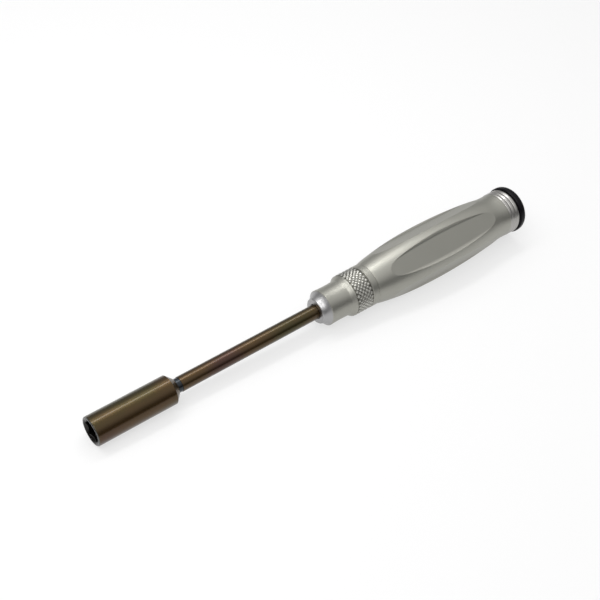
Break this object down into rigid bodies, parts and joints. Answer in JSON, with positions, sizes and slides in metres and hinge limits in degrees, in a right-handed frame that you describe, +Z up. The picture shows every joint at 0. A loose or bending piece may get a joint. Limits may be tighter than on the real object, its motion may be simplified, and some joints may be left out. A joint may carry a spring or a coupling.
{
  "type": "nut driver",
  "caption": "Hand nut driver with a deep hexagon socket on a slim shaft, a knurled nose, a fluted hollow aluminium grip and a free-turning end cap.",
  "frame": {"origin": "centre of the hexagon at the socket's front face", "axes": "+X along the blade from the socket's mouth to the end cap, +Z up with one of the grip's flats facing straight down as the tool lies"},
  "size_m": [0.2126, 0.0242, 0.023],
  "materials": {
    "bronzed_steel": "bronze-brown heat-tinted steel, satin",
    "turned_aluminium": "turned, bright satin",
    "satin_aluminium": "bead-blasted, satin",
    "black_aluminium": "black anodised, glossy",
    "black_steel": "black oxide",
    "bush_brass": "turned bearing bronze",
    "washer_plastic": "natural acetal"
  },
  "bodies": {
    "handle": {"nose_ferrule": "turned_aluminium", "grip_barrel": "satin_aluminium", "end_plug": "turned_aluminium", "stem_bush": "bush_brass", "thrust_washer": "washer_plastic"},
    "blade": {"socket_sleeve": "bronzed_steel", "blade_shaft": "bronzed_steel"},
    "screw": {"set_screw": "black_steel"},
    "cap": {"swivel_cap": "black_aluminium", "retaining_clip": "black_steel"}
  },
  "joints": [
    {"name": "blade_slide", "type": "slide", "parent": "handle", "child": "blade", "axis": [-1, 0, 0], "range_m": [0, 0.032]},
    {"name": "screw_release", "type": "slide", "parent": "handle", "child": "screw", "axis": [0, 1, 0], "range_m": [0, 0.0012]},
    {"name": "cap_swivel", "type": "hinge", "parent": "handle", "child": "cap", "pos_m": [0.2087, 0, 0], "axis": [1, 0, 0], "continuous": true}
  ]
}
